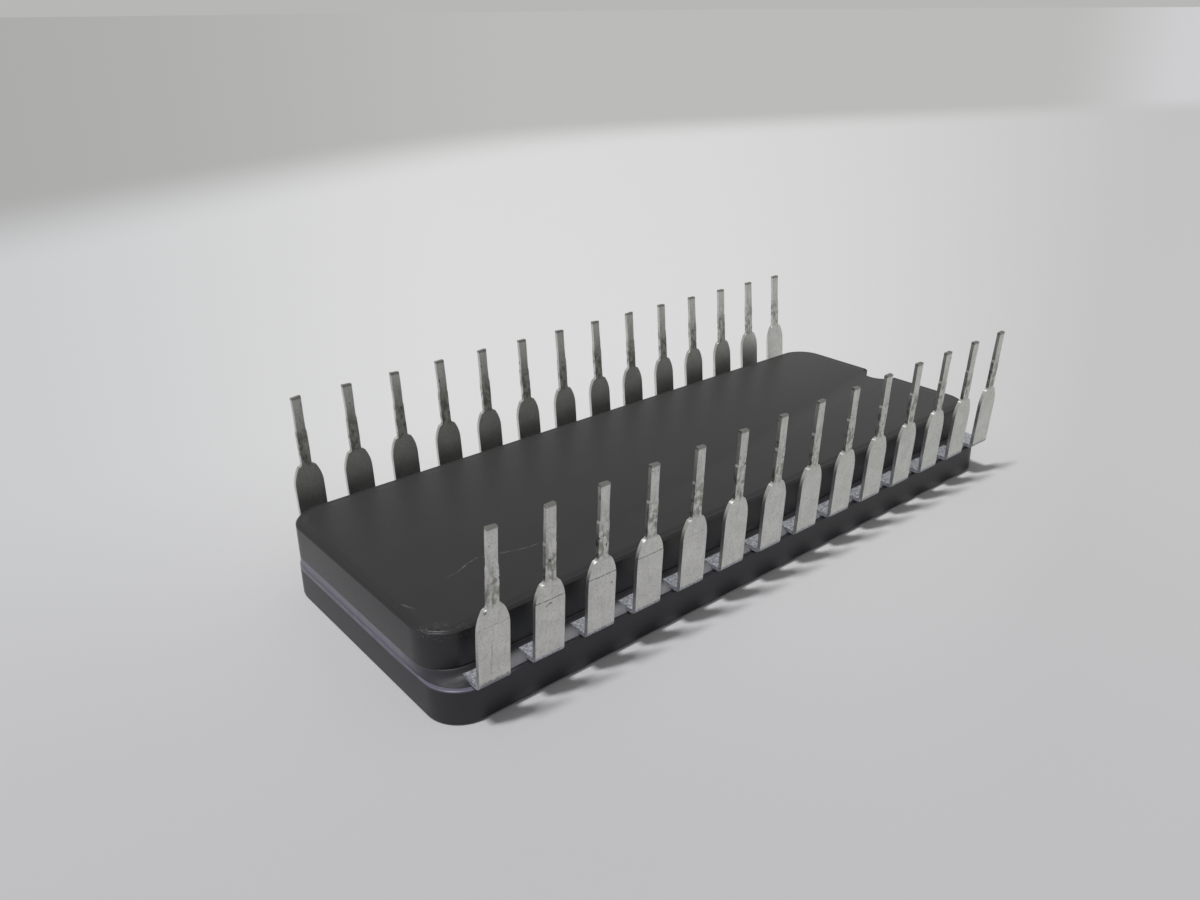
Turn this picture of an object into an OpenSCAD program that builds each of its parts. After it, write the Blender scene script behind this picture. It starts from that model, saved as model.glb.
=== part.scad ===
// A 28-lead integrated circuit in a glass-sealed ceramic dual in-line package.
// It lies on its lid, as it was laid down on a table, with its leads pointing up.
// X runs along the package to its notched end, Y runs across it, Z is up from the table.

/* [Ceramic halves] */
// Ceramic beyond the middle of the last lead, with the rows in the middle of its length
end_overhang = 1.49; // [1.4:0.01:2.2]
// Gap between the lid's edges and the leads that stand beside it, with the lid in the middle
lid_gap = 0.52; // [0.45:0.01:0.6]
// How far the lid slid towards leads 1 to 14 while the glass was soft
lid_slip = 0.36; // [0:0.02:0.36]
// Thickness of the lid
lid_thickness = 1.55; // [1.4:0.05:2.2]
// Width of the ledges by which the lid sticks out beyond the base, with the lid in the middle
ledge_width = 0.52; // [0.45:0.01:0.6]
// Thickness of the base
base_thickness = 1.65; // [1.5:0.05:2.4]
// Radius of the upright corners of both halves
corner_radius = 1.6; // [1.2:0.1:2.4]
// Width of the bevel round the outer faces, seen from above
bevel_width = 0.25; // [0.1:0.05:0.4]
// Height of the same bevel, seen from the side
bevel_height = 0.32; // [0.1:0.02:0.5]
// Width and height of the small bevel at the edges that face the glass
seam_bevel = 0.1; // [0.05:0.01:0.15]
// Radius of the half-round notch that marks the lead 1 end
notch_radius = 1; // [0.7:0.1:1.3]

/* [Glass seal] */
// Thickness of the glass between the two halves
glass_thickness = 0.5; // [0.45:0.01:0.7]
// Glass between the lid and the underside of the leads
glass_under_leads = 0.1; // [0.08:0.01:0.2]
// Thickness of the glass film that runs out over the wide ledge of the lid
film_thickness = 0.05; // [0.03:0.01:0.07]
// How far the glass bulges out of the seam at its middle
glass_bulge = 0.06; // [0.02:0.01:0.1]
// How far the glass lies back from the ceramic edges where it meets them
glass_setback = 0.12; // [0.12:0.01:0.2]

/* [Leads] */
// Number of leads in each of the two rows
leads_per_row = 14; // [12:1:16]
// Distance between neighbouring leads
lead_pitch = 2.54; // [2.5:0.01:2.6]
// Distance between the two rows, between the middles of the bent-up blades
row_spacing = 15.28; // [15.1:0.02:15.6]
// How far the two rows sit off the middle of the ceramic, towards the notch
frame_shift = 0.4; // [0:0.1:0.5]
// Thickness of the lead sheet
lead_thickness = 0.2; // [0.2:0.01:0.3]
// Inside radius of the bend
bend_radius = 0.06; // [0.04:0.01:0.25]
// Angle by which each row leans outwards
splay = 4; // [0:0.5:8]
// Width of the blade, the wide part of a lead
blade_width = 1.4; // [1.2:0.02:1.6]
// Height above the bend at which the blade starts to taper
taper_start = 2.52; // [2:0.02:2.7]
// Height above the bend of the shoulder that stands on a circuit board
shoulder_height = 3.54; // [3.4:0.02:3.7]
// Width of the lead across that shoulder
shoulder_width = 0.94; // [0.86:0.02:1.1]
// Radius of the shoulder's outer corners
shoulder_radius = 0.17; // [0.1:0.01:0.2]
// Width of the pin just above the shoulder
pin_width = 0.5; // [0.44:0.02:0.56]
// Width of the pin's end part, which was trimmed narrower
pin_end_width = 0.45; // [0.38:0.01:0.5]
// Height above the bend at which the pin narrows to its end part
pin_step = 5.24; // [4.5:0.01:5.6]
// Height of the pin's tip above the bend
lead_height = 6.89; // [6.2:0.01:7.4]

/* [Lead fingers in the glass] */
// Fingers in each row that run to the ends of the cavity, at each end
end_fingers = 3; // [2:1:3]
// Width of a finger where it leaves the blade
finger_width = 0.6; // [0.5:0.02:0.7]
// Width of a finger at its bonding tip
tip_width = 0.38; // [0.3:0.02:0.44]
// Length by which a lead runs in past the base's wall at its full width
wide_entry = 0.4; // [0.3:0.05:0.5]
// Length of a finger that goes straight in before it turns, from the base's wall
finger_entry = 0.8; // [0.7:0.05:0.9]
// Extra straight length of the innermost end finger
end_finger_entry = 0.7; // [0.6:0.05:0.8]
// Further straight length of each end finger that lies nearer the package's end
end_finger_step = 0.4; // [0.35:0.05:0.45]
// Straight length of the bonding tips along the long sides
tip_length = 0.6; // [0.5:0.05:0.7]
// Straight length of the bonding tips at the cavity's ends
end_tip_length = 1.6; // [1.4:0.05:1.8]

/* [Cavity and chip] */
// Length of the chip's cavity in the base
cavity_length = 9.8; // [9.2:0.1:10.4]
// Width of the chip's cavity
cavity_width = 5.4; // [5:0.1:5.8]
// Depth of the chip's cavity
cavity_depth = 0.75; // [0.7:0.05:0.8]
// Distance from the cavity's long sides to the bonding tips
tip_setback = 0.1; // [0.05:0.01:0.12]
// Distance from the cavity's corner to the middle of the first tip on a long side
corner_to_tip = 0.35; // [0.3:0.01:0.4]
// How far the tips at an end spread past each side of the cavity
end_spread = 0.15; // [0.1:0.01:0.2]
// Distance from the cavity's ends to the bonding tips, with the rows unshifted
end_tip_setback = 0.5; // [0.5:0.02:0.6]
// Distance from the cavity's edge to the edge of the glass over the tips
glass_window = 0.16; // [0.14:0.01:0.2]
// Depth of the recess in the lid that clears the wires
lid_recess = 0.55; // [0.5:0.05:0.6]
// Bare length of the bonding tips along the long sides
bare_tip = 0.8; // [0.7:0.05:0.9]
// Bare length of the bonding tips at the cavity's ends, with the rows unshifted
bare_end_tip = 1.3; // [1.2:0.05:1.4]
// Length of the silicon chip
chip_length = 6.4; // [6:0.1:7]
// Width of the silicon chip
chip_width = 3.6; // [3.4:0.1:4]
// Thickness of the silicon chip
chip_thickness = 0.38; // [0.3:0.01:0.42]
// Thickness of the layer that holds the chip
attach_thickness = 0.04; // [0.03:0.01:0.06]
// How far that layer squeezes out round the chip
attach_margin = 0.15; // [0.1:0.01:0.25]
// Distance from the chip's edge to its bonding pads
pad_inset = 0.15; // [0.12:0.01:0.2]
// Distance from the chip's corner to the first pad along the same edge
pad_corner = 0.4; // [0.34:0.01:0.5]

/* [Bonding wires] */
// Diameter of a bonding wire
wire_diameter = 0.05; // [0.03:0.01:0.07]
// Side of the flat foot at each end of a wire
foot_size = 0.12; // [0.1:0.01:0.14]
// Thickness of that foot
foot_thickness = 0.03; // [0.02:0.01:0.04]
// Half of the angle through which a wire's loop is bent
loop_angle = 40; // [36:1:44]
// Distance from a finger's end to the middle of the wire's foot
foot_setback = 0.25; // [0.2:0.01:0.3]

/* [Hidden] */
$fn = 48;
// Clearance by which a cutting tool passes a face
cut = 1;
// Overlap by which the stretches of a lead run into each other
lap = 0.01;
// How far the section of a fillet reaches back into the sheet of glass
fillet_root = 0.25;
body_length = (leads_per_row - 1) * lead_pitch + 2 * end_overhang;
lid_width = row_spacing - lead_thickness - 2 * lid_gap;
base_width = lid_width - 2 * ledge_width;
lid_top = lid_thickness;
lead_bottom = lid_top + glass_under_leads;
base_bottom = lid_top + glass_thickness;
base_top = base_bottom + base_thickness;
chip_face = base_bottom + cavity_depth - attach_thickness - chip_thickness;
lead_count = 2 * leads_per_row;
// The lid's recess and the glass around it
recess_length = cavity_length + 2 * (end_tip_setback + bare_end_tip);
recess_width = cavity_width + 2 * (tip_setback + bare_tip);
window_length = cavity_length + 2 * glass_window;
window_width = cavity_width + 2 * glass_window;
// The bend of a lead, in the frame of its leaning blade
bend_middle = bend_radius + lead_thickness / 2;
bend_height = (lead_thickness + bend_radius - bend_middle * sin(splay)) / cos(splay);
bend_y = row_spacing / 2 - bend_middle * cos(splay) + bend_height * sin(splay);
// The curved side of the taper leaves the blade's straight side and runs into the shoulder's
// round corner. Its radius follows from how far that corner's middle lies in and up.
shoulder_x = shoulder_width / 2 - shoulder_radius;
shoulder_in = blade_width / 2 - shoulder_x;
shoulder_rise = shoulder_height - shoulder_radius - taper_start;
taper_radius = (pow(shoulder_in, 2) + pow(shoulder_rise, 2) - pow(shoulder_radius, 2))
    / (2 * (shoulder_in - shoulder_radius));
taper_top = taper_start + shoulder_rise * taper_radius / (taper_radius - shoulder_radius);
// The fillet of glass between the base's wall and the lid's wide ledge
fillet_width = ledge_width + lid_slip - glass_setback;
fillet_drop = glass_thickness - glass_setback / 2 - film_thickness;
fillet_radius = (pow(fillet_width, 2) + pow(fillet_drop, 2)) / (2 * fillet_drop);
// Fingers and pads along one side of the cavity
side_fingers = leads_per_row - 2 * end_fingers;
side_tip_pitch = (cavity_length - 2 * corner_to_tip) / (side_fingers - 1);
end_tip_pitch = (cavity_width + 2 * end_spread) / (2 * end_fingers);
side_pad_pitch = (chip_length - 2 * pad_corner) / (side_fingers - 1);
end_pad_pitch = (chip_width - 2 * pad_corner) / (2 * end_fingers - 1);

function unit(v) = v / norm(v);
function left_of(v) = [-v[1], v[0]];
// Offset at a corner of a path that keeps the strip's width on both of its sides
function corner_offset(a, b, c) =
    let (before = left_of(unit(b - a)), after = left_of(unit(c - b)))
    (before + after) / (1 + before * after);

// Outline of a strip that follows a path of points with a half width at each
function strip(path, half_widths) =
    let (
        last = len(path) - 1,
        offsets = [
            for (i = [0 : last])
                i == 0 ? left_of(unit(path[1] - path[0]))
                : i == last ? left_of(unit(path[last] - path[last - 1]))
                : corner_offset(path[i - 1], path[i], path[i + 1])
        ]
    )
    concat(
        [for (i = [0 : last]) path[i] + offsets[i] * half_widths[i]],
        [for (i = [last : -1 : 0]) path[i] - offsets[i] * half_widths[i]]
    );

// Places of the leads, counted along a row from the plain end to the notched end.
// Lead 1 stands beside the notch, and the count runs down that row and back up the other.
function place_of(number) = number <= leads_per_row ? leads_per_row + 1 - number : number - leads_per_row;
// Place counted from the middle of the row
function centred(place) = place - (leads_per_row + 1) / 2;
function lead_x(place) = frame_shift + centred(place) * lead_pitch;
// The end of the cavity that a finger runs to: -1 or 1, or 0 for a long side
function end_of(place) = place <= end_fingers ? -1 : place > leads_per_row - end_fingers ? 1 : 0;
// Rank of an end finger, from 0 at the package's end
function rank_of(place) = end_of(place) < 0 ? place - 1 : leads_per_row - place;

function turn_y(place) =
    base_width / 2 - finger_entry
    - (end_of(place) == 0 ? 0 : end_finger_entry + (end_fingers - 1 - rank_of(place)) * end_finger_step);
// The inner end of a finger, and the corner where its straight tip starts
function tip_end(place) =
    end_of(place) == 0
    ? [frame_shift + centred(place) * side_tip_pitch, cavity_width / 2 + tip_setback]
    : [frame_shift + end_of(place) * (cavity_length / 2 + end_tip_setback),
       (rank_of(place) + 0.5) * end_tip_pitch];
function tip_direction(place) = end_of(place) == 0 ? [0, 1] : [end_of(place), 0];
function tip_start(place) =
    tip_end(place) + tip_direction(place) * (end_of(place) == 0 ? tip_length : end_tip_length);

// A plate with upright round corners, whose edge follows a profile of [inset, height] points
module plate(length, width, radius, profile) {
    low = profile[0][1];
    high = profile[len(profile) - 1][1];
    module half_section(reach) {
        polygon(concat([[0, low]], [for (p = profile) [reach - p[0], p[1]]], [[0, high]]));
    }
    module section(reach) {
        half_section(reach);
        mirror([1, 0]) half_section(reach);
    }
    rotate([90, 0, 0])
        linear_extrude(width - 2 * radius, center = true)
            section(length / 2);
    rotate([90, 0, 90])
        linear_extrude(length - 2 * radius, center = true)
            section(width / 2);
    for (x = [-1, 1])
        for (y = [-1, 1])
            translate([x * (length / 2 - radius), y * (width / 2 - radius), 0])
                rotate_extrude()
                    half_section(radius);
}

// The half-round notch, cut right through
module notch() {
    translate([body_length / 2, 0, -cut])
        cylinder(r = notch_radius, h = base_top + 2 * cut);
}

// The bevel round the notch at an outer face, widening upwards
module notch_bevel() {
    translate([body_length / 2, 0, 0])
        cylinder(r1 = notch_radius, r2 = notch_radius + 2 * bevel_width, h = 2 * bevel_height);
}

module ceramic_lid() {
    color("#3b3a3d")
        translate([0, -lid_slip, 0])
            difference() {
                plate(body_length, lid_width, corner_radius, [
                    [bevel_width, 0],
                    [0, bevel_height],
                    [0, lid_top - seam_bevel],
                    [seam_bevel, lid_top]
                ]);
                translate([0, 0, lid_top - lid_recess])
                    linear_extrude(lid_recess + cut)
                        square([recess_length, recess_width], center = true);
                notch();
                translate([0, 0, bevel_height])
                    mirror([0, 0, 1])
                        notch_bevel();
            }
}

module ceramic_base() {
    color("#444446")
        difference() {
            plate(body_length, base_width, corner_radius, [
                [seam_bevel, base_bottom],
                [0, base_bottom + seam_bevel],
                [0, base_top - bevel_height],
                [bevel_width, base_top]
            ]);
            translate([0, 0, base_bottom - cut])
                linear_extrude(cavity_depth + cut)
                    square([cavity_length, cavity_width], center = true);
            notch();
            translate([0, 0, base_top - bevel_height])
                notch_bevel();
        }
}

// Section of the glass that creeps down the base's wall and out over the lid's ledge,
// measured out from the wall
module fillet_section() {
    difference() {
        translate([-glass_setback / 2 - fillet_root, lid_top])
            square([fillet_width + glass_setback / 2 + fillet_root, glass_thickness - glass_setback / 2]);
        translate([fillet_width, lid_top + film_thickness + fillet_radius])
            circle(fillet_radius);
    }
}

module fillet_corner() {
    intersection() {
        translate([body_length / 2 - corner_radius, base_width / 2 - corner_radius, 0])
            rotate_extrude(angle = 90)
                translate([corner_radius, 0])
                    fillet_section();
        translate([0, lid_slip, 0])
            plate(body_length, lid_width, corner_radius, [
                [seam_bevel, lid_top],
                [seam_bevel, base_bottom]
            ]);
    }
}

// The fillet lies on the side towards which the lid slid
module glass_fillet() {
    mirror([0, 1, 0]) {
        translate([0, base_width / 2, 0])
            rotate([90, 0, 90])
                linear_extrude(body_length - 2 * corner_radius, center = true)
                    fillet_section();
        for (x = [0, 1])
            mirror([x, 0, 0])
                fillet_corner();
    }
}

module glass_window_cut() {
    translate([0, 0, lid_top - cut])
        linear_extrude(glass_thickness + 2 * cut)
            square([window_length, window_width], center = true);
    translate([0, -lid_slip, lid_top - cut])
        linear_extrude(glass_under_leads + cut)
            square([recess_length, recess_width], center = true);
}

module seal_glass() {
    color("#5a5864")
        difference() {
            union() {
                plate(body_length, base_width, corner_radius, [
                    [glass_setback, lid_top],
                    [-glass_bulge, lid_top + glass_thickness / 3],
                    [-glass_bulge, base_bottom - glass_thickness / 3],
                    [glass_setback, base_bottom]
                ]);
                glass_fillet();
            }
            glass_window_cut();
            notch();
            for (number = [1 : lead_count])
                lead_flat(number);
        }
}

// Puts what is drawn for the row at positive Y into the row of this lead
module in_row(number) {
    mirror([0, number <= leads_per_row ? 1 : 0, 0])
        children();
}

// The flat part of a lead: the run over the ledge and the finger in the glass
module lead_flat(number) {
    place = place_of(number);
    x = lead_x(place);
    path = [
        [x, bend_y + lap],
        [x, base_width / 2 - wide_entry],
        [x, turn_y(place)],
        tip_start(place),
        tip_end(place)
    ];
    half_widths = [blade_width, blade_width, finger_width, tip_width, tip_width] / 2;
    in_row(number)
        translate([0, 0, lead_bottom])
            linear_extrude(lead_thickness)
                polygon(strip(path, half_widths));
}

// Front outline of the standing part of a lead, from the bend up to the tip
module blade_outline() {
    // A straight stretch in the middle of the blade, between two heights
    module stretch(width, low, high) {
        translate([-width / 2, low - lap])
            square([width, high - low + lap]);
    }
    stretch(blade_width, bend_height, taper_start);
    intersection() {
        stretch(blade_width, taper_start, taper_top);
        translate([blade_width / 2 - taper_radius, taper_start])
            circle(taper_radius);
        translate([taper_radius - blade_width / 2, taper_start])
            circle(taper_radius);
    }
    for (x = [-shoulder_x, shoulder_x])
        translate([x, shoulder_height - shoulder_radius])
            circle(shoulder_radius);
    stretch(2 * shoulder_x, taper_start, shoulder_height);
    stretch(pin_width, taper_start, pin_step);
    stretch(pin_end_width, taper_start, lead_height);
}

module lead(number) {
    color("#9e9e98")
        union() {
            lead_flat(number);
            in_row(number)
                translate([lead_x(place_of(number)), row_spacing / 2, lead_bottom])
                    rotate([-splay, 0, 0]) {
                        rotate([90, 0, 0])
                            linear_extrude(lead_thickness, center = true)
                                blade_outline();
                        translate([0, -bend_middle, bend_height])
                            rotate([-90, 0, 90])
                                rotate_extrude(angle = 90 - splay)
                                    translate([bend_radius, -blade_width / 2])
                                        square([lead_thickness, blade_width]);
                    }
        }
}

module chip() {
    color("#6f7480")
        translate([-chip_length / 2, -chip_width / 2, chip_face])
            cube([chip_length, chip_width, chip_thickness]);
}

module chip_attach() {
    length = chip_length + 2 * attach_margin;
    width = chip_width + 2 * attach_margin;
    color("#c9a94a")
        translate([-length / 2, -width / 2, chip_face + chip_thickness])
            cube([length, width, attach_thickness]);
}

// Pad on the chip for the finger at this place, in the row at positive Y
function pad_point(place) =
    end_of(place) == 0
    ? [centred(place) * side_pad_pitch, chip_width / 2 - pad_inset]
    : [end_of(place) * (chip_length / 2 - pad_inset), (rank_of(place) + 0.5) * end_pad_pitch];

// A wire is bent round in an upright plane, from a foot on the chip to a foot on the finger
module bond_wire(place) {
    pad = pad_point(place);
    landing = tip_end(place) + tip_direction(place) * foot_setback;
    reach = landing - pad;
    start_z = chip_face - foot_thickness;
    drop = start_z - (lead_bottom - foot_thickness);
    slope = atan2(drop, norm(reach));
    chord = norm([norm(reach), drop]);
    radius = chord / (2 * sin(loop_angle));
    middle = [
        chord / 2 * cos(slope) + radius * cos(loop_angle) * sin(slope),
        radius * cos(loop_angle) * cos(slope) - chord / 2 * sin(slope)
    ];
    translate([pad[0], pad[1], start_z])
        rotate([90, 0, atan2(reach[1], reach[0])])
            translate(middle)
                rotate([0, 0, -90 - slope - loop_angle])
                    rotate_extrude(angle = 2 * loop_angle)
                        translate([radius, 0])
                            circle(d = wire_diameter);
    for (foot = [[pad, chip_face], [landing, lead_bottom]])
        translate([foot[0][0] - foot_size / 2, foot[0][1] - foot_size / 2, foot[1] - foot_thickness])
            cube([foot_size, foot_size, foot_thickness]);
}

module bond_wires() {
    color("#d8d8dc")
        for (number = [1 : lead_count])
            in_row(number)
                bond_wire(place_of(number));
}

ceramic_lid();
seal_glass();
ceramic_base();
chip();
chip_attach();
bond_wires();
for (number = [1 : lead_count])
    lead(number);
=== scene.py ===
# %% [markdown]
# # A ceramic integrated circuit lying on its lid
# The object is a chip package: two dark ceramic halves, melted together with glass, and 28 metal
# leads that come out of the glass and are bent up. It was laid down upside down, so its lid is at
# the bottom and its leads point at the ceiling.
#
# The solids come from a CAD model, which this script loads and never changes. Each cell below
# makes one piece or one finish around those solids. Sizes are in millimetres while a piece is
# being made, because that is how such a package is drawn, and become metres at the end.

# %% Load the frame
import math
import random

import bmesh
import bpy
from mathutils import Matrix, Vector, noise


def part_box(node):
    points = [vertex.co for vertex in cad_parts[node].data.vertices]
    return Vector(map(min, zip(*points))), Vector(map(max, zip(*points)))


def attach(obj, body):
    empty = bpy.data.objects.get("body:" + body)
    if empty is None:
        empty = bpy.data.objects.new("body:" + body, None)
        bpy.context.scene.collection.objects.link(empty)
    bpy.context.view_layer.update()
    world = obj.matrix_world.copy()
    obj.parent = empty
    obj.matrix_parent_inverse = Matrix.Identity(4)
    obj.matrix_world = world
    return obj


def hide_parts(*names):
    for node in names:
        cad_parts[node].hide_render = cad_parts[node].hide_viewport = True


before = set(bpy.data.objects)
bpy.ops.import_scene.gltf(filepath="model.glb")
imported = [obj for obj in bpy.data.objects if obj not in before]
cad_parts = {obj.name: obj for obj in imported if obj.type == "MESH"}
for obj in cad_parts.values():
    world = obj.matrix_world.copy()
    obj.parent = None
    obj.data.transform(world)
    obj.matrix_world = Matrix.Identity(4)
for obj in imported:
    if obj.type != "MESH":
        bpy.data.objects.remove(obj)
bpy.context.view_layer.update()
MM = 0.001

# %% [markdown]
# ## Sizes read from the frame
# A visual piece has to sit exactly where its solid is. So the outer sizes are read from the CAD
# nodes, and only what a box can't tell, such as a corner's radius, is written down here.


# %% Sizes of the package
def box_mm(node):
    low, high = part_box(node)
    return low / MM, high / MM


LID_LOW, LID_HIGH = box_mm("ceramic_lid")
BASE_LOW, BASE_HIGH = box_mm("ceramic_base")
CORNER_RADIUS = 1.6
NOTCH_RADIUS = 1.0
CAVITY = Vector((9.8, 5.4, 0.75))
LID_RECESS = Vector((13.4, 7.2, 0.55))
RIM_BEVEL = 0.28
RIM_ROUNDING = 0.04
SEAM_BEVEL = 0.05
LID_SEAM_BEVEL = 0.2
LID_MIDDLE = (LID_LOW.y + LID_HIGH.y) / 2
WIDE_LEDGE = BASE_LOW.y - LID_LOW.y
print("the lid slid", round(LID_MIDDLE, 2), "mm across; its wide ledge is", round(WIDE_LEDGE, 2), "mm")

# %% Sizes of the leads
LEAD_COUNT = 28
LEADS_PER_ROW = 14
BLADE_WIDTH = 1.4
LEAD_THICKNESS = 0.2
LEAD_BOTTOM = box_mm("lead_01")[0].z
BLADE_MIDDLE = 7.64
SPLAY = math.radians(4)
BEND_RADIUS = 0.06
TAPER_START = 2.52
SHOULDER_HEIGHT = 3.54
SHOULDER_WIDTH = 0.94
SHOULDER_RADIUS = 0.17
PIN_WIDTH = 0.5
PIN_END_WIDTH = 0.45
PIN_STEP = 5.24
LEAD_HEIGHT = 6.89
row_start = box_mm("lead_14")[0].x + BLADE_WIDTH / 2
row_end = box_mm("lead_01")[1].x - BLADE_WIDTH / 2
PITCH = (row_end - row_start) / (LEADS_PER_ROW - 1)
print("pitch of the leads:", round(PITCH, 3), "mm")

# %% [markdown]
# ## Helpers for meshes
# A bmesh is Blender's workbench for a mesh. The helpers here start one, turn it into an object
# that sits at the origin with its place in its mesh, and cut one object out of another.


# %% Mesh helpers
def shade(mesh, angle=35):
    """Smooth faces that meet at a small angle, and leave real edges sharp."""
    mesh.polygons.foreach_set("use_smooth", [True] * len(mesh.polygons))
    mesh.set_sharp_from_angle(angle=math.radians(angle))


def make_piece(bm, name, tidy=True):
    if tidy:
        bmesh.ops.remove_doubles(bm, verts=bm.verts, dist=1e-5)
        bmesh.ops.recalc_face_normals(bm, faces=bm.faces)
    bmesh.ops.scale(bm, vec=(MM, MM, MM), verts=bm.verts)
    mesh = bpy.data.meshes.new(name)
    bm.to_mesh(mesh)
    bm.free()
    shade(mesh)
    piece = bpy.data.objects.new(name, mesh)
    bpy.context.scene.collection.objects.link(piece)
    return piece


def block(low, high):
    bm = bmesh.new()
    bmesh.ops.create_cube(bm, size=1)
    bmesh.ops.scale(bm, vec=Vector(high) - Vector(low), verts=bm.verts)
    bmesh.ops.translate(bm, vec=(Vector(low) + Vector(high)) / 2, verts=bm.verts)
    return bm


def carve(piece, tool):
    """Cut the tool's shape out of a piece, and throw the tool away."""
    cut = piece.modifiers.new("cut", "BOOLEAN")
    cut.operation = "DIFFERENCE"
    cut.solver = "EXACT"
    cut.object = tool
    graph = bpy.context.evaluated_depsgraph_get()
    carved = bpy.data.meshes.new_from_object(piece.evaluated_get(graph))
    piece.modifiers.clear()
    piece.data = carved
    bpy.data.objects.remove(tool)


def reopen(piece):
    """Put a finished piece back on the bench, in millimetres."""
    bm = bmesh.new()
    bm.from_mesh(piece.data)
    bmesh.ops.scale(bm, vec=(1 / MM, 1 / MM, 1 / MM), verts=bm.verts)
    bmesh.ops.remove_doubles(bm, verts=bm.verts, dist=1e-4)
    bpy.data.objects.remove(piece)
    return bm


# %% [markdown]
# ## The two ceramic halves
# Each half is pressed from ceramic powder and fired: a plate with round upright corners, a
# half-round notch that marks the end with lead 1, and soft edges, because a pressed edge is never
# sharp. A cube with bevelled upright edges gives the plate, and a cylinder cuts the notch. The
# edges are bevelled after the cut, so that the notch gets a soft edge too.


# %% A plate with round corners and a notch
CORNER_STEPS = 14


def round_plate(low, high):
    bm = block(low, high)
    upright = [e for e in bm.edges if abs(e.verts[0].co.z - e.verts[1].co.z) > 0.01]
    bmesh.ops.bevel(bm, geom=upright, offset=CORNER_RADIUS, segments=CORNER_STEPS,
                    profile=0.5, affect="EDGES", material=-1)
    return bm


def notch_tool(low, high):
    middle = (Vector(low) + Vector(high)) / 2
    bm = bmesh.new()
    bmesh.ops.create_cone(bm, cap_ends=True, segments=64, radius1=NOTCH_RADIUS,
                          radius2=NOTCH_RADIUS, depth=high[2] - low[2] + 2)
    bmesh.ops.translate(bm, vec=(high[0], middle.y, middle.z), verts=bm.verts)
    return make_piece(bm, "notch_tool")


def rim_edges(bm, height, pocket_low, pocket_high):
    """Edges at one height where a flat face meets the outer wall, away from the inner pocket."""
    found = []
    for e in bm.edges:
        level = all(abs(v.co.z - height) < 1e-3 for v in e.verts)
        outer = any(v.co.x < pocket_low.x or v.co.x > pocket_high.x or v.co.y < pocket_low.y
                    or v.co.y > pocket_high.y for v in e.verts)
        if level and outer and len(e.link_faces) == 2 and e.calc_face_angle() > 0.5:
            found.append(e)
    return found


def ceramic_half(name, low, high, pocket_low, pocket_high, bevels):
    plate = make_piece(round_plate(low, high), name)
    carve(plate, notch_tool(low, high))
    carve(plate, make_piece(block(pocket_low, pocket_high), "pocket_tool"))
    bm = reopen(plate)
    for height, size, steps in bevels:
        edges = rim_edges(bm, height, pocket_low - Vector((0.01, 0.01, 0)), pocket_high + Vector((0.01, 0.01, 0)))
        bmesh.ops.bevel(bm, geom=edges, offset=size, segments=steps, profile=0.5, affect="EDGES",
                        material=-1, clamp_overlap=True)
    piece = make_piece(bm, name)
    print(name, "has", len(piece.data.polygons), "faces")
    return piece


# %% The base, on top
cavity_side = Vector((CAVITY.x / 2, CAVITY.y / 2, 0))
base = ceramic_half(
    "base_half", BASE_LOW, BASE_HIGH,
    Vector((-cavity_side.x, -cavity_side.y, BASE_LOW.z - 1)),
    Vector((cavity_side.x, cavity_side.y, BASE_LOW.z + CAVITY.z)),
    [(BASE_LOW.z, SEAM_BEVEL, 3), (BASE_HIGH.z, RIM_BEVEL, 1), (BASE_HIGH.z, RIM_ROUNDING, 3),
     (BASE_HIGH.z - RIM_BEVEL, RIM_ROUNDING, 3)],
)
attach(base, "root")
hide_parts("ceramic_base")

# %% The lid, underneath
recess_side = Vector((LID_RECESS.x / 2, LID_RECESS.y / 2, 0))
lid = ceramic_half(
    "lid_half", LID_LOW, LID_HIGH,
    Vector((-recess_side.x, LID_MIDDLE - recess_side.y, LID_HIGH.z - LID_RECESS.z)),
    Vector((recess_side.x, LID_MIDDLE + recess_side.y, LID_HIGH.z + 1)),
    [(LID_HIGH.z, LID_SEAM_BEVEL, 5), (LID_LOW.z, RIM_BEVEL, 1), (LID_LOW.z, RIM_ROUNDING, 3),
     (LID_LOW.z + RIM_BEVEL, RIM_ROUNDING, 3)],
)
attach(lid, "root")
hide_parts("ceramic_lid")

# %% [markdown]
# ## The glass that seals the halves
# Glass paste is printed on both halves and melted in an oven. It bulges a little out of the seam.
# The lid slid to one side while the glass was soft, and there the glass runs down the base's wall
# and out over the lid's wide ledge, and it climbs up a little at each lead. A plate is sliced
# into thin levels, and each level is then pushed out and lowered to make that section.

# %% The section of the glass
GLASS_LEVELS = 12
GLASS_SETBACK = 0.02
GLASS_BULGE = 0.06
SHORT_BULGE = 0.02
FILM_THICKNESS = 0.05
SLICE = 0.2
glass_height = BASE_LOW.z - LID_HIGH.z
fillet_reach = WIDE_LEDGE - LID_SEAM_BEVEL


def bead_section(share):
    """How far out and how high the bead is, from the base's edge at 0 to the lid's rim at 1."""
    out = -GLASS_SETBACK + (GLASS_SETBACK + SHORT_BULGE) * math.sin(math.pi * share) ** 0.6
    return out - 0.04 * share, BASE_LOW.z + 0.02 - (glass_height + 0.08) * share


def fillet_section(share):
    """The same for the fillet that runs out over the wide ledge."""
    turn = max(0.0, (share - 0.15) / 0.85) * math.pi / 2
    if share < 0.15:
        out = -GLASS_SETBACK + (GLASS_SETBACK + GLASS_BULGE) * share / 0.15
        return out, BASE_LOW.z - 0.05 * share / 0.15
    out = GLASS_BULGE + (fillet_reach - GLASS_BULGE) * (1 - math.cos(turn))
    drop = glass_height - 0.05 - FILM_THICKNESS
    return out, BASE_LOW.z - 0.05 - drop * math.sin(turn)


def nearest_lead(x):
    """Distance in x from the side of the nearest lead, negative under the lead."""
    place = min(max(round((x - row_start) / PITCH), 0), LEADS_PER_ROW - 1)
    return abs(x - row_start - place * PITCH) - BLADE_WIDTH / 2


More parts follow.
